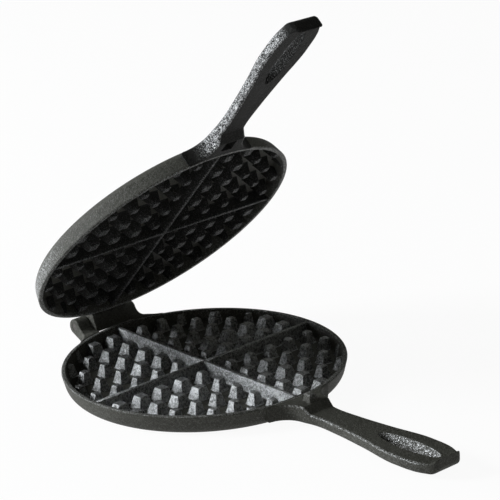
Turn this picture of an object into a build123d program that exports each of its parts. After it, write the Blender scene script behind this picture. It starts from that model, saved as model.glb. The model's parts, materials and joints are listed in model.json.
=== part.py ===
from build123d import *

import os
from math import atan2, cos, degrees, hypot, radians, sin, sqrt, tan

# A stovetop waffle iron in cast iron: two round plates with a grid of pegs, hinged at the back and
# opened by two slotted handles. Millimetres, +Z up. The origin is the centre of the lower plate's
# flat underside, +X runs to the handle, and the hinge axis is parallel to Y.
#
# Both plates are drawn in the same local frame: its origin is the centre of the plate's flat outer
# face, its X runs to the handle and its Z runs from the outer face to the rim. Each plate is one
# casting. It is stored as its floor, rim, ribs, pegs, handle and hinge piece, which meet face to face.

# Dish
rim_radius = 94.5
rim_width = 3.2
plate_height = 14.0
floor_thickness = 4.5
mould_lean = 2.3  # how far the inner wall comes in from rim to floor
wall_turn = 6.5  # height where the outer wall starts to round under
wall_lean = 1.9  # how far the outer wall comes in by that height
foot_inset = 9.0  # from the rim in to the flat that rests on the stove

# Waffle grid: square drafted pegs in rows, with a higher rib along each of the two middle lines. In
# each quarter the two rows beside one rib are broad from their second peg out, and the rest are slim.
peg_pitch = 17.1
peg_first = 12.45  # from a rib's middle to the first row of pegs
slim_base = 8.4
slim_top = 4.8
broad_base = 11.3
broad_top = 6.6
peg_height = 8.0
rib_base = 5.2
rib_top = 2.6
rib_drop = 1.0  # from the rim down to the rib

# Handle: stations are measured out from the rim, widths from the middle line
handle_drop = 4.0  # from the rim down to the handle's upper face
handle_thickness = 7.0
root_half = 26.0  # where the root's flare leaves the rim
neck_out, neck_half = 10.5, 11.7
waist_out, waist_half = 21.0, 9.7
shank_out, shank_half = 43.0, 10.2
swell_out, swell_half = 67.5, 12.8
palm_out, palm_half = 99.0, 16.8
shoulder_out, shoulder_half = 119.5, 14.2
tip_out, tip_half = 128.0, 6.5
neck_slope = 0.15  # how the side runs in where the flare ends, as a share of its run
shoulder_slope = 0.42  # the same, where the tip's rounded corner starts
corner_reach = 4.5  # how far the corner keeps the direction of each of its ends
platform_out = 13.0  # the root stays level with the rim this far
ramp_run = 5.5
lip_rise = 3.4  # the tip curls up from the handle's upper face
lip_run = 6.5
handle_under_edge = 2.2
handle_upper_edge = 0.8

# Hanging slot: an oval mouth that slopes in to a narrower oval hole
slot_out = 95.0
slot_half_length = 26.0
slot_half_width = 6.6
slot_slope_run = 2.7
slot_slope_depth = 4.5

# Locating lug on the lower root, and its pocket in the upper root
lug_out = 8.3
lug_base = 7.4
lug_top = 5.0
lug_height = 5.0
lug_clearance = 0.7

# Hinge
hinge_out = 13.7  # from the rim to the hinge axis
hinge_rise = 2.0  # hinge axis above the lower rim
pin_diameter = 5.0
pin_running_clearance = 0.05  # radial, in the knuckle
pin_inset = 0.2  # each pin end lies this far inside its ear
ear_radius = 5.5
ear_width = 9.8
ear_side_gap = 0.4
ear_neck = 5.2  # the ears keep their width this far in from the axis
ear_root_half = 36.0  # where an ear's flare meets the rim
hinge_slope = 26.0  # degrees, the underside of the ears and of the arm
hinge_foot = 4.0  # height of the ears' and the arm's underside at the wall
ear_top_angle = 25.0  # degrees, where an ear's hollow upper side leaves its boss
ear_edge = 0.8
knuckle_half = 14.8
knuckle_radius = 6.0
heel_clearance = 0.8  # between the knuckle's heel and the lower rim as it swings past
heel_angle = 62.0  # degrees, direction of the heel's tip from the axis
heel_rise = 1.1  # the heel's upper corner, beyond the axis
groove_width = 2.8  # between the upper wall and the heel
groove_depth = 4.0
heel_tip_edge = 0.8
heel_crest_edge = 0.8
knuckle_edge = 0.5

# Pose
closed_gap = 0.3  # between the two rims when shut
opening = 46.5  # degrees, as drawn

# Worked out
mould_top_radius = rim_radius - rim_width
mould_floor_radius = mould_top_radius - mould_lean
foot_radius = rim_radius - foot_inset
handle_top = plate_height - handle_drop
handle_bottom = handle_top - handle_thickness
hinge_reach = rim_radius + hinge_out
ear_inner = knuckle_half + ear_side_gap
ear_outer = ear_inner + ear_width
beyond = 10.0  # cutting shapes run this far past the metal
buried = rim_radius - 2 * beyond  # the handle and hinge pieces are drawn from here and cut off at the wall


def upright(base):
    """The plane through the plate's middle line: X to the handle, Y from the outer face to the rim."""
    return Plane(base.origin, x_dir=base.x_dir, z_dir=-base.y_dir)


def polar(centre, radius, angle):
    """The point at a radius and an angle in degrees from a centre."""
    return (centre[0] + radius * cos(radians(angle)), centre[1] + radius * sin(radians(angle)))


def dish(base):
    """The solid round body: flat outer face, wall rounded under, drafted up to the rim."""
    wall_foot = (rim_radius - wall_lean, wall_turn)
    with BuildPart() as body:
        with BuildSketch(upright(base)):
            with BuildLine():
                Polyline((foot_radius, 0), (0, 0), (0, plate_height), (rim_radius, plate_height), wall_foot)
                TangentArc(wall_foot, (foot_radius, 0), tangent=(-wall_lean, wall_turn - plate_height))
            make_face()
        revolve(axis=Axis(base.origin, base.z_dir))
    return body.part


def mould(base):
    """The drafted round hollow above the floor, which the batter fills around the pegs and ribs."""
    draft = mould_lean / (plate_height - floor_thickness)
    top = plate_height + beyond
    with BuildPart() as hollow:
        with BuildSketch(upright(base)):
            with BuildLine():
                Polyline(
                    (0, floor_thickness),
                    (mould_floor_radius, floor_thickness),
                    (mould_top_radius + beyond * draft, top),
                    (0, top),
                    close=True,
                )
            make_face()
        revolve(axis=Axis(base.origin, base.z_dir))
    return hollow.part


def peg_places(foot, broad, hand):
    """Centres of the broad or the slim pegs whose inner corner stands on the mould's floor.

    The first quarter is turned into the other three. Hand -1 gives the mirrored pattern.
    """
    rows = [peg_first + i * peg_pitch for i in range(int(rim_radius / peg_pitch) + 1)]
    standing = [(x, y) for x in rows for y in rows if hypot(x - foot / 2, y - foot / 2) < mould_floor_radius]
    quarter = [(x, y) for x, y in standing if (x > rows[0] and y < rows[2]) == broad]
    return [(a, b * hand) for x, y in quarter for a, b in ((x, y), (-y, x), (-x, -y), (y, -x))]


def pegs(base, hand):
    """The square drafted pegs, those at the edge cut to the mould's wall."""
    with BuildPart() as grid:
        for foot, top, broad in ((slim_base, slim_top, False), (broad_base, broad_top, True)):
            with BuildSketch(base.offset(floor_thickness)):
                with Locations(*peg_places(foot, broad, hand)):
                    Rectangle(foot, foot)
            extrude(amount=peg_height, taper=degrees(atan2((foot - top) / 2, peg_height)))
        add(mould(base), mode=Mode.INTERSECT)
    return grid.part


def ribs(base):
    """The two drafted ribs that cross in the middle and quarter the waffle."""
    with BuildPart() as cross:
        for side, run in ((base.y_dir, base.x_dir), (-base.x_dir, base.y_dir)):
            with BuildSketch(Plane(base.origin, x_dir=side, z_dir=run)):
                with BuildLine():
                    Polyline(
                        (-rib_base / 2, floor_thickness),
                        (rib_base / 2, floor_thickness),
                        (rib_top / 2, plate_height - rib_drop),
                        (-rib_top / 2, plate_height - rib_drop),
                        close=True,
                    )
                make_face()
            extrude(amount=rim_radius, both=True)
        add(mould(base), mode=Mode.INTERSECT)
    return cross.part


def handle(base):
    """The flared root, the waisted grip with its curled tip, and the hanging slot."""
    root = (sqrt(rim_radius**2 - root_half**2), root_half)
    neck = (rim_radius + neck_out, neck_half)
    shoulder = (rim_radius + shoulder_out, shoulder_half)
    tip = (rim_radius + tip_out, tip_half)
    slot_base = Plane(base.from_local_coords((rim_radius + slot_out, 0, 0)), base.x_dir, base.z_dir)
    up = Axis(base.origin, base.z_dir)
    with BuildPart() as grip:
        with BuildSketch(base.offset(handle_bottom)):
            with BuildLine():
                Polyline((buried, 0), (buried, root_half), root)
                TangentArc(neck, root, tangent=(-1, neck_slope))
                Spline(
                    neck,
                    (rim_radius + waist_out, waist_half),
                    (rim_radius + shank_out, shank_half),
                    (rim_radius + swell_out, swell_half),
                    (rim_radius + palm_out, palm_half),
                    shoulder,
                    tangents=((1, -neck_slope), (1, -shoulder_slope)),
                )
                corner_start = (shoulder[0] + corner_reach, shoulder[1] - corner_reach * shoulder_slope)
                Bezier(shoulder, corner_start, (tip[0], tip[1] + corner_reach), tip)
                Line(tip, (rim_radius + tip_out, 0))
                mirror(about=Plane.XZ)
            make_face()
        extrude(amount=plate_height - handle_bottom)
        fillet(grip.faces().sort_by(up)[0].edges().filter_by(GeomType.BSPLINE), handle_under_edge)
        lip_start = (rim_radius + tip_out - lip_run, handle_top)
        lip_end = (rim_radius + tip_out, handle_top + lip_rise)
        with BuildSketch(upright(base)):
            with BuildLine():
                Polyline(
                    lip_end,
                    (lip_end[0] + beyond, lip_end[1]),
                    (lip_end[0] + beyond, plate_height + beyond),
                    (rim_radius + platform_out, plate_height + beyond),
                    (rim_radius + platform_out, plate_height),
                    (rim_radius + platform_out + ramp_run, handle_top),
                    lip_start,
                )
                TangentArc(lip_start, lip_end, tangent=(1, 0))
            make_face()
        extrude(amount=palm_half + beyond, both=True, mode=Mode.SUBTRACT)
        sides = grip.edges().filter_by(GeomType.BSPLINE)
        fillet(sides.filter_by_position(up, handle_top - handle_upper_edge, plate_height), handle_upper_edge)
        with BuildSketch(slot_base.offset(handle_top)):
            Ellipse(slot_half_length, slot_half_width)
        with BuildSketch(slot_base.offset(handle_top - slot_slope_depth)):
            Ellipse(slot_half_length - slot_slope_run, slot_half_width - slot_slope_run)
        loft(mode=Mode.SUBTRACT)
        with BuildSketch(slot_base.offset(handle_top - slot_slope_depth)):
            Ellipse(slot_half_length - slot_slope_run, slot_half_width - slot_slope_run)
        extrude(amount=-handle_thickness, mode=Mode.SUBTRACT)
    return grip.part


def lug(base, direction, grow):
    """The drafted square lug on a root's platform, or, grown on every side, the pocket for it."""
    seat = base.from_local_coords((rim_radius + lug_out, 0, plate_height))
    taper = degrees(atan2((lug_base - lug_top) / 2, lug_height))
    with BuildPart() as block:
        with BuildSketch(Plane(seat, base.x_dir, direction)):
            Rectangle(lug_base + 2 * grow, lug_base + 2 * grow)
        extrude(amount=lug_height + grow, taper=taper)
    return block.part


def ear(base):
    """The left ear of the lower plate: a boss on an arm that flares into the wall."""
    axis = (-hinge_reach, plate_height + hinge_rise)
    under = polar(axis, ear_radius, -90 - hinge_slope)
    upper = polar(axis, ear_radius, ear_top_angle)
    back = polar(axis, ear_radius, 180)
    foot = (under[0] + (under[1] - hinge_foot) / tan(radians(hinge_slope)), hinge_foot)
    rim = (-rim_radius, plate_height)
    flare = (-sqrt(rim_radius**2 - ear_root_half**2), ear_root_half)
    neck = (-hinge_reach + ear_neck, ear_outer)
    outward = Axis(base.origin, -base.x_dir)
    with BuildPart() as arm:
        with BuildSketch(upright(base)):
            with BuildLine():
                Polyline(rim, (-buried, plate_height), (-buried, hinge_foot), foot, under)
                ThreePointArc(under, back, upper)
                TangentArc(upper, rim, tangent=(sin(radians(ear_top_angle)), -cos(radians(ear_top_angle))))
            make_face()
        extrude(amount=ear_root_half, both=True)
        with BuildSketch(base):
            with BuildLine():
                Polyline(
                    neck,
                    (-hinge_reach - ear_radius, ear_outer),
                    (-hinge_reach - ear_radius, ear_inner),
                    (-buried, ear_inner),
                    (-buried, ear_root_half),
                    flare,
                )
                TangentArc(neck, flare, tangent=(1, 0))
            make_face()
        extrude(amount=plate_height + hinge_rise + ear_radius, mode=Mode.INTERSECT)
        curved = arm.edges().filter_by(GeomType.LINE, reverse=True)
        fillet(curved.filter_by_position(outward, rim_radius, hinge_reach + ear_radius), ear_edge)
    return arm.part


def knuckle(base):
    """The upper plate's wide knuckle: an arm from the wall, the hub, and a heel that fills the gap below."""
    axis_height = plate_height + closed_gap - hinge_rise
    axis = (-hinge_reach, axis_height)
    heel_reach = hinge_out - heel_clearance
    under = polar(axis, knuckle_radius, -90 - hinge_slope)
    tip = polar(axis, heel_reach, heel_angle)
    back_angle = heel_angle + degrees(atan2(sqrt(heel_reach**2 - knuckle_radius**2), knuckle_radius))
    back = polar(axis, knuckle_radius, back_angle)
    foot = (under[0] + (under[1] - hinge_foot) / tan(radians(hinge_slope)), hinge_foot)
    crest = (-rim_radius - groove_width, axis_height + heel_rise)
    outward = Axis(base.origin, -base.x_dir)
    with BuildPart() as block:
        with BuildSketch(upright(base)) as section:
            with BuildLine():
                ThreePointArc(under, polar(axis, knuckle_radius, 180), back)
                Polyline(
                    back,
                    tip,
                    crest,
                    (-rim_radius - groove_width, plate_height - groove_depth),
                    (-buried, plate_height - groove_depth),
                    (-buried, hinge_foot),
                    foot,
                    under,
                )
            make_face()
            fillet(section.vertices().sort_by_distance(tip)[0], heel_tip_edge)
            fillet(section.vertices().sort_by_distance(crest)[0], heel_crest_edge)
        extrude(amount=knuckle_half, both=True)
        sides = block.faces().filter_by(Axis(base.origin, base.y_dir)).edges()
        fillet(sides.filter_by_position(outward, rim_radius, hinge_reach + knuckle_radius), knuckle_edge)
    return block.part


def bore(base, axis_height, diameter):
    """The round hole along the hinge axis, through everything there."""
    with BuildPart() as hole:
        with BuildSketch(upright(base)):
            with Locations((-hinge_reach, axis_height)):
                Circle(diameter / 2)
        extrude(amount=ear_outer + beyond, both=True)
    return hole.part


# Where the two plates lie. The upper one is drawn opened about the hinge.
lower_base = Plane.XY
hinge_centre = Vector(-hinge_reach, 0, plate_height + hinge_rise)
level, climb = cos(radians(opening)), sin(radians(opening))
opened = Plane(hinge_centre, x_dir=(level, 0, climb), z_dir=(climb, 0, -level))
upper_axis_height = plate_height + closed_gap - hinge_rise
upper_base = Plane(opened.from_local_coords((hinge_reach, 0, -upper_axis_height)), opened.x_dir, opened.z_dir)

lower_dish = dish(lower_base)
lower_bore = bore(lower_base, plate_height + hinge_rise, pin_diameter)
upper_dish = dish(upper_base)
upper_bore = bore(upper_base, upper_axis_height, pin_diameter + 2 * pin_running_clearance)

with BuildPart() as lower_floor:
    add(lower_dish)
    split(bisect_by=lower_base.offset(floor_thickness), keep=Keep.BOTTOM)

with BuildPart() as lower_rim:
    add(lower_dish)
    split(bisect_by=lower_base.offset(floor_thickness), keep=Keep.TOP)
    add(mould(lower_base), mode=Mode.SUBTRACT)

with BuildPart() as lower_pegs:
    add(pegs(lower_base, 1))

with BuildPart() as lower_ribs:
    add(ribs(lower_base))

with BuildPart() as lower_handle:
    add(handle(lower_base))
    add(lower_dish, mode=Mode.SUBTRACT)
    add(lug(lower_base, lower_base.z_dir, 0))

with BuildPart() as hinge_ear_left:
    add(ear(lower_base))
    add([lower_dish, lower_bore], mode=Mode.SUBTRACT)

with BuildPart() as hinge_ear_right:
    mirror(hinge_ear_left.part, about=Plane.XZ)

with BuildPart() as upper_floor:
    add(upper_dish)
    split(bisect_by=upper_base.offset(floor_thickness), keep=Keep.BOTTOM)

with BuildPart() as upper_rim:
    add(upper_dish)
    split(bisect_by=upper_base.offset(floor_thickness), keep=Keep.TOP)
    add(mould(upper_base), mode=Mode.SUBTRACT)

# The upper plate's pegs mirror the lower plate's, so that like meets like when the iron is shut.
with BuildPart() as upper_pegs:
    add(pegs(upper_base, -1))

with BuildPart() as upper_ribs:
    add(ribs(upper_base))

with BuildPart() as upper_handle:
    add(handle(upper_base))
    add([upper_dish, lug(upper_base, -upper_base.z_dir, lug_clearance)], mode=Mode.SUBTRACT)

with BuildPart() as hinge_knuckle:
    add(knuckle(upper_base))
    add([upper_dish, upper_bore], mode=Mode.SUBTRACT)

with BuildPart() as hinge_pin:
    with BuildSketch(Plane(hinge_centre, x_dir=(1, 0, 0), z_dir=(0, -1, 0))):
        Circle(pin_diameter / 2)
    extrude(amount=ear_outer - pin_inset, both=True)

os.makedirs("parts", exist_ok=True)

lower_floor.part.label = "lower_floor"
export_step(lower_floor.part, "parts/lower_floor.step")

lower_rim.part.label = "lower_rim"
export_step(lower_rim.part, "parts/lower_rim.step")

lower_pegs.part.label = "lower_pegs"
export_step(lower_pegs.part, "parts/lower_pegs.step")

lower_ribs.part.label = "lower_ribs"
export_step(lower_ribs.part, "parts/lower_ribs.step")

lower_handle.part.label = "lower_handle"
export_step(lower_handle.part, "parts/lower_handle.step")

hinge_ear_left.part.label = "hinge_ear_left"
export_step(hinge_ear_left.part, "parts/hinge_ear_left.step")

hinge_ear_right.part.label = "hinge_ear_right"
export_step(hinge_ear_right.part, "parts/hinge_ear_right.step")

upper_floor.part.label = "upper_floor"
export_step(upper_floor.part, "parts/upper_floor.step")

upper_rim.part.label = "upper_rim"
export_step(upper_rim.part, "parts/upper_rim.step")

upper_pegs.part.label = "upper_pegs"
export_step(upper_pegs.part, "parts/upper_pegs.step")

upper_ribs.part.label = "upper_ribs"
export_step(upper_ribs.part, "parts/upper_ribs.step")

upper_handle.part.label = "upper_handle"
export_step(upper_handle.part, "parts/upper_handle.step")

hinge_knuckle.part.label = "hinge_knuckle"
export_step(hinge_knuckle.part, "parts/hinge_knuckle.step")

hinge_pin.part.label = "hinge_pin"
export_step(hinge_pin.part, "parts/hinge_pin.step")
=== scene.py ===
# %% [markdown]
# # A stovetop waffle iron in seasoned cast iron
# The real object is two round castings, each with its own handle, and a steel pin that joins them.
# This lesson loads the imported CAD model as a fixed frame, dresses each part of the two castings in a
# rounder, more cast-looking skin, and gives them a surface, light and a camera.

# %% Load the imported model
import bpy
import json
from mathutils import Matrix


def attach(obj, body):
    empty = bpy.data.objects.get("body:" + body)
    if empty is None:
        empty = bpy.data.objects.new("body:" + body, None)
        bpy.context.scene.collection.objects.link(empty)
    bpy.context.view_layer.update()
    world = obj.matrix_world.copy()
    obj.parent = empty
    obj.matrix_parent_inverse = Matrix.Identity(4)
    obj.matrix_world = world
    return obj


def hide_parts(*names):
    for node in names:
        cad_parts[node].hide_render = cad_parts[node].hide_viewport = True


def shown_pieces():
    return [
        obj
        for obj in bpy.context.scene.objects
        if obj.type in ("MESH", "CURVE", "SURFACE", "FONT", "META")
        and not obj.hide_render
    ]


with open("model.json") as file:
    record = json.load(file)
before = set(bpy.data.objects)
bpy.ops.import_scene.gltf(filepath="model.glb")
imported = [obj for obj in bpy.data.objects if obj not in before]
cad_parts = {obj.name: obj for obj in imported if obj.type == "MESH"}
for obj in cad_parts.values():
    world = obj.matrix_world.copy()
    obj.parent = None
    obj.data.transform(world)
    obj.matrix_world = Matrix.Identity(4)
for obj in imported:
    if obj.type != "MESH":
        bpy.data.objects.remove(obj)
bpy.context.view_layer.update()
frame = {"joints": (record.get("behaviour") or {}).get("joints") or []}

import json
import bpy
import bmesh
import numpy as np
from mathutils import Matrix, Vector

# %% [markdown]
# ## Two plates, one set of shapes
# Both castings have the same dish, pegs, ribs and handle, so every shape is worked out once, in
# millimetres, in a plate's own frame: its origin is the middle of the outer face, X runs to the handle
# and Z runs from the outer face to the rim. A plate's frame is three directions and an origin, read
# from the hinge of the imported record, so the skins land on the CAD pieces without any fitting.

# %% Sizes and the two frames
rim_radius, rim_width, plate_height, floor_top = 94.5, 3.2, 14.0, 4.5
mould_lean, foot_radius = 2.3, 85.5
mould_top = rim_radius - rim_width
mould_floor = mould_top - mould_lean
hinge = frame["joints"][0]
hinge_centre = np.array(hinge["pos_m"]) * 1000
hinge_reach = -hinge_centre[0]
opening = np.radians(-hinge["range_deg"][0])
upper_axis_height = 12.3  # from the upper plate's outer face to the hinge's axis
run = np.array([np.cos(opening), 0, np.sin(opening)])
rise = np.array([np.sin(opening), 0, -np.cos(opening)])
plates = {
    "lower": (np.zeros(3), np.eye(3)),
    "upper": (
        hinge_centre + hinge_reach * run - upper_axis_height * rise,
        np.array([run, [0, -1, 0], rise]),
    ),
}
print("upper plate's origin, mm:", np.round(plates["upper"][0], 2))

# %% [markdown]
# ## Paths
# A casting has no sharp edges, because sand crumbles at them. So profiles are drawn as straight runs
# whose corners become arcs, all corners at once, and a second helper draws the arc that leaves a point
# in a known direction and ends at another.

# %% Rounded runs and tangent arcs
def unit(vectors):
    """Each vector divided by its length."""
    return vectors / np.maximum(np.linalg.norm(vectors, axis=-1, keepdims=True), 1e-12)


def rounded(corners, radii, steps=6):
    """Straight runs joined by arcs. Where the path turns by an angle a, an arc of radius r leaves the run
    r * tan(a / 2) before the corner. Its points are start + r * (sin u * heading + (1 - cos u) * side),
    for u from 0 to a."""
    corners, radii = np.array(corners, float), np.array(radii, float)
    runs = unit(np.diff(corners, axis=0))
    heading, leaving = np.vstack([runs[:1], runs]), np.vstack([runs, runs[-1:]])
    turn = np.arccos(np.clip((heading * leaving).sum(1), -1, 1))
    side = unit(leaving - heading * np.cos(turn)[:, None])
    start = corners - heading * (radii * np.tan(turn / 2))[:, None]
    u = (turn[:, None] * np.linspace(0, 1, steps))[..., None]
    bend = np.sin(u) * heading[:, None] + (1 - np.cos(u)) * side[:, None]
    return (start[:, None] + radii[:, None, None] * bend).reshape(-1, corners.shape[1])


def tangent_arc(start, heading, end, steps=12):
    """The arc from start to end that leaves along heading. With chord c and unit normal n its radius is
    c.c / (2 c.n), and it turns by twice the angle between heading and chord."""
    start, heading = np.array(start, float), unit(np.array(heading, float))
    chord = np.array(end, float) - start
    normal = unit(chord - heading * (chord @ heading))
    radius = chord @ chord / (2 * chord @ normal)
    u = np.linspace(0, 2 * np.arctan2(chord @ normal, chord @ heading), steps)[:, None]
    return start + radius * (np.sin(u) * heading + (1 - np.cos(u)) * normal)


# %% [markdown]
# ## From a grid to a mesh
# A skin is a grid of points with four-cornered faces between neighbours. Its columns go all the way
# round, so the last one joins the first. Points that fall together, such as a pole on the axis, are
# merged, and the faces are then turned outwards.

# %% Grids, meshes and finished pieces
def quads(rows, columns):
    """Faces between neighbouring lines of a grid whose columns go all the way round, as four vertex
    numbers each."""
    number = np.arange(rows * columns).reshape(rows, columns)
    number = np.hstack([number, number[:, :1]])
    return np.stack([number[:-1, :-1], number[1:, :-1], number[1:, 1:], number[:-1, 1:]], -1).reshape(-1, 4)


def tube(rows, columns):
    """The faces of quads, and one more that closes each end."""
    ring = np.arange(columns)
    return [*quads(rows, columns), ring[::-1], (rows - 1) * columns + ring]


def mesh_of(name, points, faces, rubbed=0.0):
    """A closed mesh in metres from points in millimetres. The last argument says how bare each vertex is,
    from scuffing and, on the upper plate's wall and handle sides, as a painted highlight: 0 keeps its skin
    of oil, at 1 more than half is bare, and from about 2 there is no skin left."""
    mesh = bpy.data.meshes.new(name)
    mesh.from_pydata((points.reshape(-1, 3) / 1000).tolist(), [], [list(face) for face in faces])
    bared = mesh.attributes.new("rubbed", "FLOAT", "POINT")
    bare_share = np.broadcast_to(np.ravel(rubbed), len(mesh.vertices))
    bared.data.foreach_set("value", bare_share.astype(np.float32))
    shell = bmesh.new()
    shell.from_mesh(mesh)
    bmesh.ops.remove_doubles(shell, verts=shell.verts, dist=1e-6)
    bmesh.ops.recalc_face_normals(shell, faces=shell.faces)
    shell.to_mesh(mesh)
    shell.free()
    mesh.shade_smooth()
    return mesh


def piece(name, mesh, body, *nodes):
    """Shows a mesh as a piece that rides with its plate and stands for the CAD nodes it covers."""
    thing = bpy.data.objects.new(name, mesh)
    bpy.context.scene.collection.objects.link(thing)
    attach(thing, body)
    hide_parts(*nodes)
    even = thing.modifiers.new("Even shading", "WEIGHTED_NORMAL")
    even.weight = 80
    print(name, "faces", len(mesh.polygons))
    return thing


def placed(points, plate):
    """Points of a plate's own frame, set where that plate lies."""
    origin, axes = plates[plate]
    return origin + points.reshape(-1, 3) @ axes


# %% [markdown]
# ## The dish
# The dish is a shallow pan with a thin, even rim. It could be a cylinder with a bevel, but its wall
# rounds under in one sweep and its mould is drafted, so a profile is drawn once and turned round the
# plate's axis. Its crest is scuffed bare in places. The upper plate's wall is bared more and more towards
# the hinge, a painted highlight over the light scuffing that both walls have.

# %% Dish
def turned(profile, columns=360):
    """A profile of (radius, height) carried round the axis: x = r cos a, y = r sin a, z = height."""
    angle = np.linspace(0, 2 * np.pi, columns, endpoint=False)
    radius, height = profile[:, :1], profile[:, 1:]
    return np.stack([radius * np.cos(angle), radius * np.sin(angle), height + 0 * angle], -1)


wall_lean, wall_foot_height = 1.9, 6.5
wall_foot = (rim_radius - wall_lean, wall_foot_height)
under = tangent_arc(wall_foot, (-wall_lean, wall_foot_height - plate_height), (foot_radius, 0), 16)[::-1]
rim_run = [under[-1], (rim_radius, plate_height), (mould_top, plate_height)]
upper_run = rounded([*rim_run, (mould_floor, floor_top), (0, floor_top)], [0, 0.9, 0.8, 2.0, 0], 8)
dish_profile = np.vstack([[(0, 0), (foot_radius - 1.0, 0)], under[1:], upper_run])
dish = turned(dish_profile)
x, y, z = np.moveaxis(dish, -1, 0)
crest = np.clip((z - 13.2) / 0.6, 0, 1)
wall = np.clip((np.hypot(x, y) - 90.5) / 2, 0, 1) * np.clip((14.2 - z) / 2, 0, 1)
# Bare share on the walls: 0.08 is light scuffing on both plates, and the rise towards the hinge on the upper
# plate is a painted highlight.
wall_wear_and_highlight = {"lower": 0.08, "upper": np.clip(0.6 - x / 50, 0.08, 1.9)}
for plate in plates:
    bare_share = np.maximum(0.6 * crest, wall_wear_and_highlight[plate] * wall)
    mesh = mesh_of(plate + "_dish", placed(dish, plate), quads(*dish.shape[:2]), bare_share)
    piece(plate + "_dish", mesh, plate, plate + "_floor", plate + "_rim")

# %% [markdown]
# ## The pegs
# Drafted pegs print the waffle. In each quarter the two rows beside one rib are broad from their second
# peg out, and the rest are slim, so the pattern turns round the plate like a pinwheel. The upper plate has
# the mirrored pattern, so that like meets like when the iron is shut. One peg is a stack of rounded
# squares, filleted at the foot and softened at the top. All are made at once by adding each peg's centre to
# its stack, and points that would pass the mould's wall are drawn in to lie just inside the metal.

# %% Pegs
def mould_wall(height):
    """Radius of the mould's wall at a height, straight from the floor's radius to the rim's."""
    return mould_floor + mould_lean * np.clip((height - floor_top) / (plate_height - floor_top), 0, 1)


def square_stack(halves, heights, corner_radii, steps=4):
    """Rounded squares one above the other. A square of half width h and corner radius c has its corner
    arcs at (h - c) + c * (cos a, sin a), turned into the four quarters."""
    a = np.linspace(0, np.pi / 2, steps)
    quarter = np.arange(4)[:, None] * np.pi / 2
    way = np.stack([np.cos(a + quarter), np.sin(a + quarter)], -1).reshape(-1, 2)
    corner = np.stack([np.cos(quarter + np.pi / 4), np.sin(quarter + np.pi / 4)], -1)
    corner = np.repeat(corner.reshape(-1, 2) * np.sqrt(2), steps, axis=0)
    h, c, z = (np.array(v, float)[..., None, None] for v in (halves, corner_radii, heights))
    return np.concatenate([(h - c) * corner + c * way, z + 0 * (h + way[..., :1])], -1)


def frustums(places, halves, heights, corner_radii, inside_mould=True):
    """A stack of squares at every place, with its top and its foot closed. Halves may differ by place."""
    centres = np.pad(np.array(places, float), ((0, 0), (0, 1)))[:, None, None]
    points = square_stack(halves, heights, corner_radii) + centres
    if inside_mould:
        far = np.linalg.norm(points[..., :2], axis=-1)
        points[..., :2] *= np.minimum(1, (mould_wall(points[..., 2]) + 0.3) / far)[..., None]
    count, rows, columns = points.shape[:3]
    return points, [face + k * rows * columns for k in range(count) for face in tube(rows, columns)]


# %% Two sizes of peg in a pinwheel
pitch, first_row = 17.1, 12.45
slim, broad = (4.2, 2.4), (5.65, 3.3)
peg_height = 8.0
rings = np.array([-0.4, 0.05, 0.45, 1.1, 7.4, 7.85, peg_height])
swell = np.array([0.55, 0.4, 0.12, 0, 0, -0.08, -0.4])
peg_corners = [1.0, 0.9, 0.65, 0.55, 0.5, 0.45, 0.3]


def peg_places(hand):
    """Peg centres, and each peg's half widths up its rings. A half width at height z is
    base + (top - base) * z / peg height, plus the foot's fillet and less the top's softening."""
    rows = first_row + pitch * np.arange(6)
    quarter = np.stack(np.meshgrid(rows, rows, indexing="ij"), -1).reshape(-1, 2)
    wide = (quarter[:, 0] > rows[0]) & (quarter[:, 1] < rows[2])
    ends = np.where(wide[:, None], broad, slim)
    standing = np.linalg.norm(quarter - ends[:, :1], axis=1) < mould_floor
    quarter, ends = quarter[standing], ends[standing]
    turn = np.array([[0, 1], [-1, 0]])
    places = np.concatenate([quarter @ np.linalg.matrix_power(turn, k) for k in range(4)]) * (1, hand)
    halves = ends[:, :1] + (ends[:, 1:] - ends[:, :1]) * rings / peg_height + swell
    return places, np.tile(halves, (4, 1))


for plate, hand in (("lower", 1), ("upper", -1)):
    places, halves = peg_places(hand)
    pegs, peg_faces = frustums(places, halves, floor_top + rings, peg_corners)
    bare_share = 0.4 * np.clip((pegs[..., 2] - 11.6) / 0.8, 0, 1)
    mesh = mesh_of(plate + "_peg_grid", placed(pegs, plate), peg_faces, bare_share)
    piece(plate + "_peg_grid", mesh, plate, plate + "_pegs")
    print(plate, "pegs:", len(places), "broad:", int((halves[:, 3] > 5).sum()))

# %% [markdown]
# ## The ribs
# Two higher ribs cross in the middle and quarter the waffle. Each is one rounded section carried along a
# line. The long rib runs from wall to wall, and the cross rib is two arms that start just inside it.

# %% Ribs
rib_top = 13.0


def rib_section():
    """Half width and height round a rib's section, from foot to foot over the rounded top."""
    foot = [(3.4, floor_top - 0.3), (3.4, floor_top), (2.5, floor_top + 0.5)]
    half = rounded([*foot, (1.35, rib_top), (0, rib_top)], [0, 0.2, 0.8, 0.75, 0], 5)
    return np.vstack([half, half[::-1] * (-1, 1)])


def bar(section, start, end):
    """A section carried in a straight line. Start and end give how far along each of its points lies."""
    rows = np.stack([start, end])[..., None]
    points = np.concatenate([rows, np.broadcast_to(section, (2, *section.shape))], -1)
    return points.reshape(-1, 3)


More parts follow.
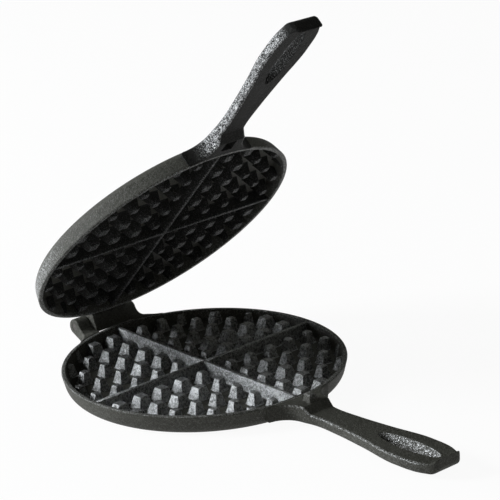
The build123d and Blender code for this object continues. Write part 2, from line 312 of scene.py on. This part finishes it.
section = rib_section()
reach = np.sqrt((mould_wall(section[:, 1]) + 0.4) ** 2 - section[:, 0] ** 2)
climb = section[: len(section) // 2]
width_at = np.interp(section[:, 1], climb[:, 1], climb[:, 0])
long_rib = bar(section, -reach, reach)
arm = bar(section - (0, 0.02), width_at - 0.15, reach)
quarter_turn = np.array([[0, 1, 0], [-1, 0, 0], [0, 0, 1.0]])
ribs = np.vstack([long_rib, arm @ quarter_turn, arm @ quarter_turn.T])
rib_faces = [face + k * len(long_rib) for k in range(3) for face in tube(2, len(section))]
bare_share = 0.4 * np.clip((ribs[:, 2] - rib_top + 0.8) / 0.6, 0, 1)
for plate in plates:
    mesh = mesh_of(plate + "_rib_cross", placed(ribs, plate), rib_faces, bare_share)
    piece(plate + "_rib_cross", mesh, plate, plate + "_ribs")

# %% [markdown]
# ## The handles
# A handle flares out of the rim, narrows behind it, swells again for the palm and curls up at its tip. It
# is a rounded section carried along the plate's middle line, with its half width, top and underside
# given as functions of how far out it is. The hanging slot goes right through, so it is cut afterwards
# with a sloping funnel, and a bevel breaks the cut edges as sand would.

# %% Handle outline
edge, under_edge, handle_top, handle_foot, tip_x = 1.4, 2.2, 10.0, 3.0, 222.5
root_half = 26.0


def outline(count=40):
    """Half width along the handle, as (x, half width). The flare is an arc, the grip a cubic through its
    stations with slopes from their neighbours, and the corner a Bezier curve that ends square to X."""
    neck, shoulder, tip = (105.0, 11.7), (214.0, 14.2), (tip_x, 7.2)
    root = (np.sqrt(rim_radius**2 - root_half**2), root_half)
    flare = tangent_arc(neck, (-1, 0.15), root, 16)[::-1]
    x = np.array([105.0, 115.5, 137.5, 162.0, 193.5, 214.0])
    w = np.array([11.7, 9.7, 10.2, 12.8, 16.8, 14.2])
    slope = np.gradient(w, x)
    slope[[0, -1]] = -0.15, -0.42
    along = np.linspace(x[0], x[-1], 2 * count)
    i = np.clip(np.searchsorted(x, along, side="right") - 1, 0, len(x) - 2)
    span = x[i + 1] - x[i]
    t = (along - x[i]) / span
    grip = (
        w[i] * (1 + 2 * t) * (1 - t) ** 2 + w[i + 1] * t**2 * (3 - 2 * t)
        + span * t * (1 - t) * (slope[i] * (1 - t) - slope[i + 1] * t)
    )
    t = np.linspace(0, 1, count // 2)[1:, None]
    pull = np.array([shoulder, (219.0, 12.1), (tip_x, 11.4), tip])
    weight = np.hstack([(1 - t) ** 3, 3 * t * (1 - t) ** 2, 3 * t**2 * (1 - t), t**3])
    corner = weight @ pull
    return np.vstack([flare, np.stack([along, grip], -1)[1:], corner])


platform_top = plate_height - 0.02
lip_start, lip_top = (216, handle_top), 13.9
platform = [(80, platform_top), (107.5, platform_top), (113, handle_top), lip_start]
lip = tangent_arc(lip_start, (1, 0), (tip_x, lip_top), 10)
profile = np.vstack([rounded(platform, [0, 1.6, 2.0, 0], 8), lip])
sides = outline()
bends = profile[profile[:, 0] > 92, 0]
stations = np.unique(np.concatenate([[sides[0, 0] - 6], sides[:, 0], bends]).round(4))
half_width = np.interp(stations, sides[:, 0], sides[:, 1])
print("handle stations:", len(stations))

# %% Handle skin
def handle_skin():
    """Sections across the handle, one for each station. A section runs from the middle of the top over
    an upper arc, down the side, round an under arc and back along the bottom, then again mirrored. The
    upper arc starts at column 4, the side at 9 and the under arc at 10. The first section is bent to lie
    just inside the dish's wall."""

    def end_drop(radius):
        """How far an arc of this radius has fallen at each station near the tip."""
        over = np.clip(stations - (tip_x - radius), 0, radius)
        return radius - np.sqrt(radius**2 - over**2)

    w = half_width[:, None]
    top = (np.interp(stations, profile[:, 0], profile[:, 1]) - end_drop(0.9))[:, None]
    foot = (handle_foot + end_drop(5.0))[:, None]
    a, b = np.linspace(0, np.pi / 2, 6), np.linspace(0, np.pi / 2, 8)
    flat, none = np.linspace(0, 1, 5)[:-1], np.zeros(4)
    above = [flat * (w - edge), w - edge + edge * np.sin(a)]
    below = [w - under_edge + under_edge * np.cos(b), (w - under_edge) * flat[::-1]]
    y = np.hstack([*above, *below])
    z = np.hstack([top + none, top - edge * (1 - np.cos(a)), foot + under_edge * (1 - np.sin(b)), foot + none])
    y, z = np.hstack([y, -y[:, -2:0:-1]]), np.hstack([z, z[:, -2:0:-1]])
    x = np.repeat(stations[:, None], y.shape[1], 1)
    inner = np.where(z[0] > floor_top, np.minimum(mould_wall(z[0]) + 1.6, 93.6), 86.0)
    inner = np.where(z[0] > plate_height - 0.5, 93.5, inner)
    x[0] = np.sqrt(np.maximum(inner**2 - y[0] ** 2, 1))
    return np.stack([x, y, z], -1)


def handle_band(skin, columns):
    """1 on the given columns of each section, on both sides, and 0 elsewhere. It fades at the root and
    before the tip. On the edges that hands and cloths rub this is scuffing; over the upper handle's whole
    sides it is a painted highlight."""
    x = skin[:, :1, 0]
    bared = np.zeros(skin.shape[:2])
    bared[:, columns] = np.clip((x - 93) / 10, 0, 1) * np.clip((218 - x) / 6, 0, 1)
    return np.maximum(bared, np.roll(bared[:, ::-1], 1, axis=1)).ravel()


slot_x = 189.5


def slot_funnel():
    """Ovals stacked down the hanging slot: x = middle + a cos t, y = b sin t, narrowing to the hole."""
    a = np.array([26.9, 26.9, 25.8, 23.3, 23.3, 23.3])[:, None]
    z = np.array([30, handle_top + 1.5, handle_top - 0.3, handle_top - 4.5, handle_foot + 0.3, -10])[:, None]
    b = a - 19.4
    t = np.linspace(0, 2 * np.pi, 128, endpoint=False)
    return np.stack([slot_x + a * np.cos(t), b * np.sin(t), z + 0 * t], -1)


def cut(mesh, *cutters):
    """The mesh with each cutter taken out of it."""
    block = bpy.data.objects.new("block", mesh)
    bpy.context.scene.collection.objects.link(block)
    tools = []
    for cutter in cutters:
        tool = bpy.data.objects.new("tool", cutter)
        bpy.context.scene.collection.objects.link(tool)
        take = block.modifiers.new("Cut", "BOOLEAN")
        take.operation, take.solver, take.object = "DIFFERENCE", "EXACT", tool
        tools.append(tool)
    bpy.context.view_layer.update()
    result = bpy.data.meshes.new_from_object(block.evaluated_get(bpy.context.evaluated_depsgraph_get()))
    for used in (block, *tools):
        bpy.data.objects.remove(used)
    return result


def slot_wear(points, bared, rub):
    """The bare share of a cut handle, from scuffing and painted highlight, but rub inside the oval of the
    slot, where a hook scrapes.
    """
    x, y, z = points.T
    oval = ((x - slot_x) / 26.5) ** 2 + (y / 7.1) ** 2
    deep = (z > handle_foot + 0.2) & (z < handle_top - 0.2)
    return np.where((oval < 1) & deep, rub, bared)


def values_of(data, key, width=1):
    """One value or vector of each element of a mesh, as rows."""
    values = np.empty(len(data) * width, np.float32)
    data.foreach_get(key, values)
    return values.reshape(-1, width)


lug_x = 102.8
skin = handle_skin()
edge_wear, side_band = handle_band(skin, slice(5, 9)), handle_band(skin, slice(5, 14))
# Bare grey over the upper handle's whole sides is a painted highlight; the lower handle is scuffed on its
# edges and barely on its sides.
hand_wear_and_highlight = {"lower": 0.65 * edge_wear + 0.08 * side_band, "upper": 1.3 * side_band}
hook_worn = {"lower": 0.9, "upper": 0.25}
funnel = slot_funnel()
pocket_halves, pocket_heights = [3.2, 3.2, 4.5, 4.5], [7.8, 8.3, 14.5, 20]
pocket, pocket_faces = frustums([(lug_x, 0)], pocket_halves, pocket_heights, [0.6, 0.6, 0.9, 0.9], False)
for plate in plates:
    tools = [mesh_of("funnel", funnel, tube(*funnel.shape[:2]))]
    if plate == "upper":
        tools.append(mesh_of("pocket", pocket, pocket_faces))
    mesh = cut(mesh_of("solid", skin, tube(*skin.shape[:2]), hand_wear_and_highlight[plate]), *tools)
    mesh.name = plate + "_grip"
    rubbed = mesh.attributes["rubbed"].data
    points = values_of(mesh.vertices, "co", 3) * 1000.0
    bare_share = slot_wear(points, values_of(rubbed, "value")[:, 0], hook_worn[plate])
    rubbed.foreach_set("value", bare_share.astype(np.float32))
    mesh.vertices.foreach_set("co", (placed(points, plate) / 1000).ravel().astype(np.float32))
    grip = piece(plate + "_grip", mesh, plate, plate + "_handle")
    bevel = grip.modifiers.new("Cast edges", "BEVEL")
    bevel.width, bevel.segments, bevel.limit_method, bevel.angle_limit = 0.0005, 3, "ANGLE", np.radians(28)
    grip.modifiers.move(1, 0)

# %% [markdown]
# ## The locating lug
# A small drafted lug stands on the lower root and enters a pocket in the upper one, so the rims meet.

# %% Lug
lug_halves, lug_corners = [4.2, 3.85, 3.55, 2.75, 2.6, 2.2], [0.8, 0.7, 0.6, 0.5, 0.5, 0.4]
lug, lug_faces = frustums([(lug_x, 0)], lug_halves, [13.6, 14.0, 14.5, 18.2, 18.7, 18.9], lug_corners, False)
bare_share = 0.5 * np.clip((lug[..., 2] - 17) / 2, 0, 1)
lug_mesh = mesh_of("locating_lug", placed(lug, "lower"), lug_faces, bare_share)
lug_piece = bpy.data.objects.new("locating_lug", lug_mesh)
bpy.context.scene.collection.objects.link(lug_piece)
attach(lug_piece, "lower")

# %% [markdown]
# ## Arithmetic on the surface
# A finish is built from values that change over the surface. A small class wraps a node's socket so that
# ordinary expressions on it add Math nodes, and one method adds any other node.

# %% Field
class Field:
    """A value or colour that changes over a surface, with arithmetic that adds Math nodes."""

    def __init__(self, socket):
        self.socket = socket
        self.tree = socket.id_data

    def node(self, kind, settings=None, inputs=None, output=0):
        """Adds a node of a kind: its settings first, then values or links for its sockets."""
        new = self.tree.nodes.new("ShaderNode" + kind)
        for name, value in (settings or {}).items():
            if name == "stops":
                while len(new.color_ramp.elements) < len(value):
                    new.color_ramp.elements.new(0.5)
                for element, (place, colour) in zip(new.color_ramp.elements, value):
                    element.position, element.color = place, (*colour, 1)
            else:
                setattr(new, name, value)
        for name, value in (inputs or {}).items():
            if isinstance(value, Field):
                self.tree.links.new(value.socket, new.inputs[name])
            else:
                new.inputs[name].default_value = value
        return Field(new.outputs[output])

    def maths(self, operation, first, second):
        return self.node("Math", {"operation": operation}, {0: first, 1: second})

    def __add__(self, other):
        return self.maths("ADD", self, other)

    def __sub__(self, other):
        return self.maths("SUBTRACT", self, other)

    def __rsub__(self, other):
        return self.maths("SUBTRACT", other, self)

    def __mul__(self, other):
        return self.maths("MULTIPLY", self, other)

    __radd__, __rmul__ = __add__, __mul__

    def clamped(self):
        """The value kept between 0 and 1."""
        return self.node("Clamp", {}, {"Value": self})


def new_finish(name):
    """An empty material and a field for the point on the piece that is being painted."""
    material = bpy.data.materials.new(name)
    material.use_nodes = True
    material.node_tree.nodes.clear()
    place = material.node_tree.nodes.new("ShaderNodeTexCoord")
    return material, Field(place.outputs["Object"])


def close_finish(place, shader_inputs):
    """Ends a finish with its Principled shader and the material output."""
    shader = place.node("BsdfPrincipled", {}, shader_inputs)
    output = place.tree.nodes.new("ShaderNodeOutputMaterial")
    place.tree.links.new(shader.socket, output.inputs["Surface"])


# %% [markdown]
# ## Seasoned cast iron
# Baked oil makes a thin dark skin over grey iron that was cast in sand. The sand leaves fine grain and a
# few pits, the skin is duller in some places, and bare grey shows through on scuffed edges. The same bare
# grey is painted as a highlight on the upper plate's wall and handle sides. The two grids get lit and
# shaded copies of one iron: the lower grid a bright metallic copy, painted light, and the upper grid and
# handle a near-black copy, painted shade. All of it is noise of different sizes on Object coordinates,
# which are metres here.

# %% Seasoned iron, in three grades
def noise(place, scale, detail=3.0, roughness=0.55):
    """Soft random values near 0.5. A scale of 1000 has lumps about a millimetre wide."""
    sizes = {"Scale": scale, "Detail": detail, "Roughness": roughness}
    return place.node("TexNoise", {}, {"Vector": place, **sizes})


def seasoned(name, tones, metal, sheen, dull, relief):
    """Iron under a skin of baked oil. Tones are the dark, middle and light colour of the skin, metal how
    metallic it looks, sheen its specular level, dull its least roughness and relief the depth of the
    sand's grain in metres."""
    finish, place = new_finish(name)
    sand = noise(place, 1500, 2.0, 0.6)
    grain = noise(place, 620, 4.0, 0.65)
    lumps = noise(place, 130, 3.0)
    patches = noise(place, 22, 4.0, 0.6)
    pits = place.node("TexVoronoi", {"feature": "F1"}, {"Vector": place, "Scale": 520.0})
    # How bare the iron is: scuffing, and on the upper plate's wall and handle sides a painted highlight.
    rubbed = place.node("Attribute", {"attribute_name": "rubbed"}, output=2)
    bare = ((grain - 0.22) * 2.3 * rubbed + (sand - 0.6) * 4 * (rubbed + 0.15)).clamped()
    tone = patches * 0.6 + grain * 1.1 + sand * 0.8 - 0.75
    skin = place.node("ValToRGB", {"stops": list(zip((0.3, 0.52, 0.7), tones))}, {"Fac": tone})
    colour = place.node("Mix", {"data_type": "RGBA"}, {0: bare, 6: skin, 7: (0.5, 0.508, 0.518, 1)}, 2)
    height = sand * 0.7 + grain * 0.8 + lumps * 0.6 - (1 - pits * 2.2).clamped() * 0.25
    bump = place.node("Bump", {}, {"Strength": 1.0, "Distance": relief, "Height": height})
    close_finish(place, {
        "Base Color": colour,
        "Roughness": dull + patches * 0.1 + grain * 0.2 - bare * (dull - 0.3),
        "Metallic": metal + bare * (1 - metal),
        "Specular IOR Level": sheen,
        "Normal": bump,
    })
    print(name, "nodes:", len(place.tree.nodes))
    return finish


# The lit and shaded copies below are painted light on the lower grid and painted shade on the upper grid and
# handle.
iron_tones = [(0.025, 0.025, 0.0195), (0.042, 0.042, 0.0345), (0.066, 0.066, 0.057)]
lit_grid_tones = [(0.07, 0.071, 0.07), (0.25, 0.256, 0.26), (0.5, 0.51, 0.52)]
shaded_tones = [(0.003, 0.003, 0.0026), (0.007, 0.007, 0.006), (0.014, 0.014, 0.0125)]
iron = seasoned("seasoned_iron", iron_tones, metal=0.0, sheen=0.3, dull=0.48, relief=0.0006)
lit_grid_iron = seasoned("lit_copy_grid_iron", lit_grid_tones, metal=1.0, sheen=0.5, dull=0.33, relief=0.0008)
shaded_iron = seasoned("shaded_copy_iron", shaded_tones, metal=0.0, sheen=0.2, dull=0.55, relief=0.0008)

# %% Pin steel
steel, place = new_finish("pin_steel")
scratches = noise(place, 900, 3.0, 0.7)
bump = place.node("Bump", {}, {"Strength": 0.2, "Distance": 0.0002, "Height": scratches})
steel_stops = [(0.3, (0.05, 0.045, 0.04)), (0.7, (0.16, 0.155, 0.15))]
close_finish(place, {
    "Base Color": place.node("ValToRGB", {"stops": steel_stops}, {"Fac": scratches}),
    "Roughness": 0.3 + scratches * 0.2,
    "Metallic": 0.9,
    "Normal": bump,
})

# %% Finishes on the pieces
# The upper grid, ribs and handle take the shaded copy as painted shade; the lower grid and ribs take the lit
# copy as painted light.
grids = {
    "lower_peg_grid": lit_grid_iron, "lower_rib_cross": lit_grid_iron,
    "upper_peg_grid": shaded_iron, "upper_rib_cross": shaded_iron, "upper_grip": shaded_iron,
}
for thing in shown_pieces():
    finish = steel if thing.name.startswith("hinge_pin") else grids.get(thing.name, iron)
    thing.data.materials.clear()
    thing.data.materials.append(finish)
print("grid pieces:", sorted(grids))

# %% [markdown]
# ## Floor, light and camera
# The iron stands on a white floor. Two soft lamps on the left light the faces that look that way and
# leave the others dark, and a weak one fills from above. To the camera and in reflections the floor
# glows almost white, and the small share that is painted keeps the iron's shadow.

# %% Floor
floor_mesh = bpy.data.meshes.new("floor")
floor_mesh.from_pydata([(-12, -12, 0), (12, -12, 0), (12, 12, 0), (-12, 12, 0)], [], [(0, 1, 2, 3)])
floor = bpy.data.objects.new("floor", floor_mesh)
floor.location.z = -0.0002
bpy.context.scene.collection.objects.link(floor)
white, place = new_finish("white_floor")
seen = place.node("LightPath", {}, {}, "Is Camera Ray")
rays = seen.socket.node.outputs
seen = (seen + Field(rays["Is Glossy Ray"]) + Field(rays["Is Transmission Ray"])).clamped()
paint = place.node("BsdfDiffuse", {}, {"Color": (0.9, 0.9, 0.9, 1)})
glow = place.node("Emission", {}, {"Color": (1, 1, 1, 1), "Strength": 1.0})
mixed = place.node("MixShader", {}, {0: seen * 0.94, 1: paint, 2: glow})
output = place.tree.nodes.new("ShaderNodeOutputMaterial")
place.tree.links.new(mixed.socket, output.inputs["Surface"])
floor_mesh.materials.append(white)

# %% World and lamps
world = bpy.data.worlds.new("studio")
bpy.context.scene.world = world
world.use_nodes = True
world.node_tree.nodes["Background"].inputs["Color"].default_value = (0.1, 0.1, 0.088, 1)


def soft_lamp(name, spot, aim, size, power):
    """A square lamp at a spot, turned towards the aim."""
    light = bpy.data.lights.new(name, "AREA")
    light.size, light.energy, light.color = size, power, (0.95, 0.98, 1.0)
    lamp = bpy.data.objects.new(name, light)
    bpy.context.scene.collection.objects.link(lamp)
    lamp.location = spot
    lamp.rotation_mode = "QUATERNION"
    lamp.rotation_quaternion = (Vector(aim) - Vector(spot)).to_track_quat("-Z", "Y")


soft_lamp("key", (-1.25, -1.55, 0.95), (0, 0, 0.1), 0.7, 62)
soft_lamp("left", (-2.3, -0.9, 0.45), (0, 0, 0.1), 1.0, 30)
soft_lamp("top", (0.2, 0.4, 2.2), (0, 0, 0), 1.6, 5)

# %% Camera
def photo_camera(azimuth, elevation, roll, look_at, distance, pixels_per_mm):
    """A camera at an azimuth and elevation, in degrees, round the point in millimetres that it looks at,
    at a distance in metres, rolled about its own axis. The lens makes a millimetre there cover this many
    pixels of a picture 500 pixels wide."""
    a, e, r = np.radians([azimuth, elevation, roll])
    back = np.array([np.sin(a) * np.cos(e), -np.cos(a) * np.cos(e), np.sin(e)])
    right = np.array([np.cos(a), np.sin(a), 0])
    up = np.cross(back, right)
    across, upward = np.cos(r) * right + np.sin(r) * up, np.cos(r) * up - np.sin(r) * right
    data = bpy.data.cameras.new("photo")
    data.lens = pixels_per_mm * distance * 1000 / 500 * data.sensor_width
    camera = bpy.data.objects.new("photo", data)
    bpy.context.scene.collection.objects.link(camera)
    matrix = np.eye(4)
    matrix[:3, 0], matrix[:3, 1], matrix[:3, 2] = across, upward, back
    matrix[:3, 3] = np.array(look_at) / 1000 + back * distance
    camera.matrix_world = Matrix(matrix.tolist())
    data.clip_start, data.clip_end = 0.05, 60
    return camera


bpy.context.scene.camera = photo_camera(49.655, 19.488, -3.294, (-137.667, 161.755, 14.0), 1.7, 1.342)
bpy.context.scene.view_settings.view_transform = "Standard"
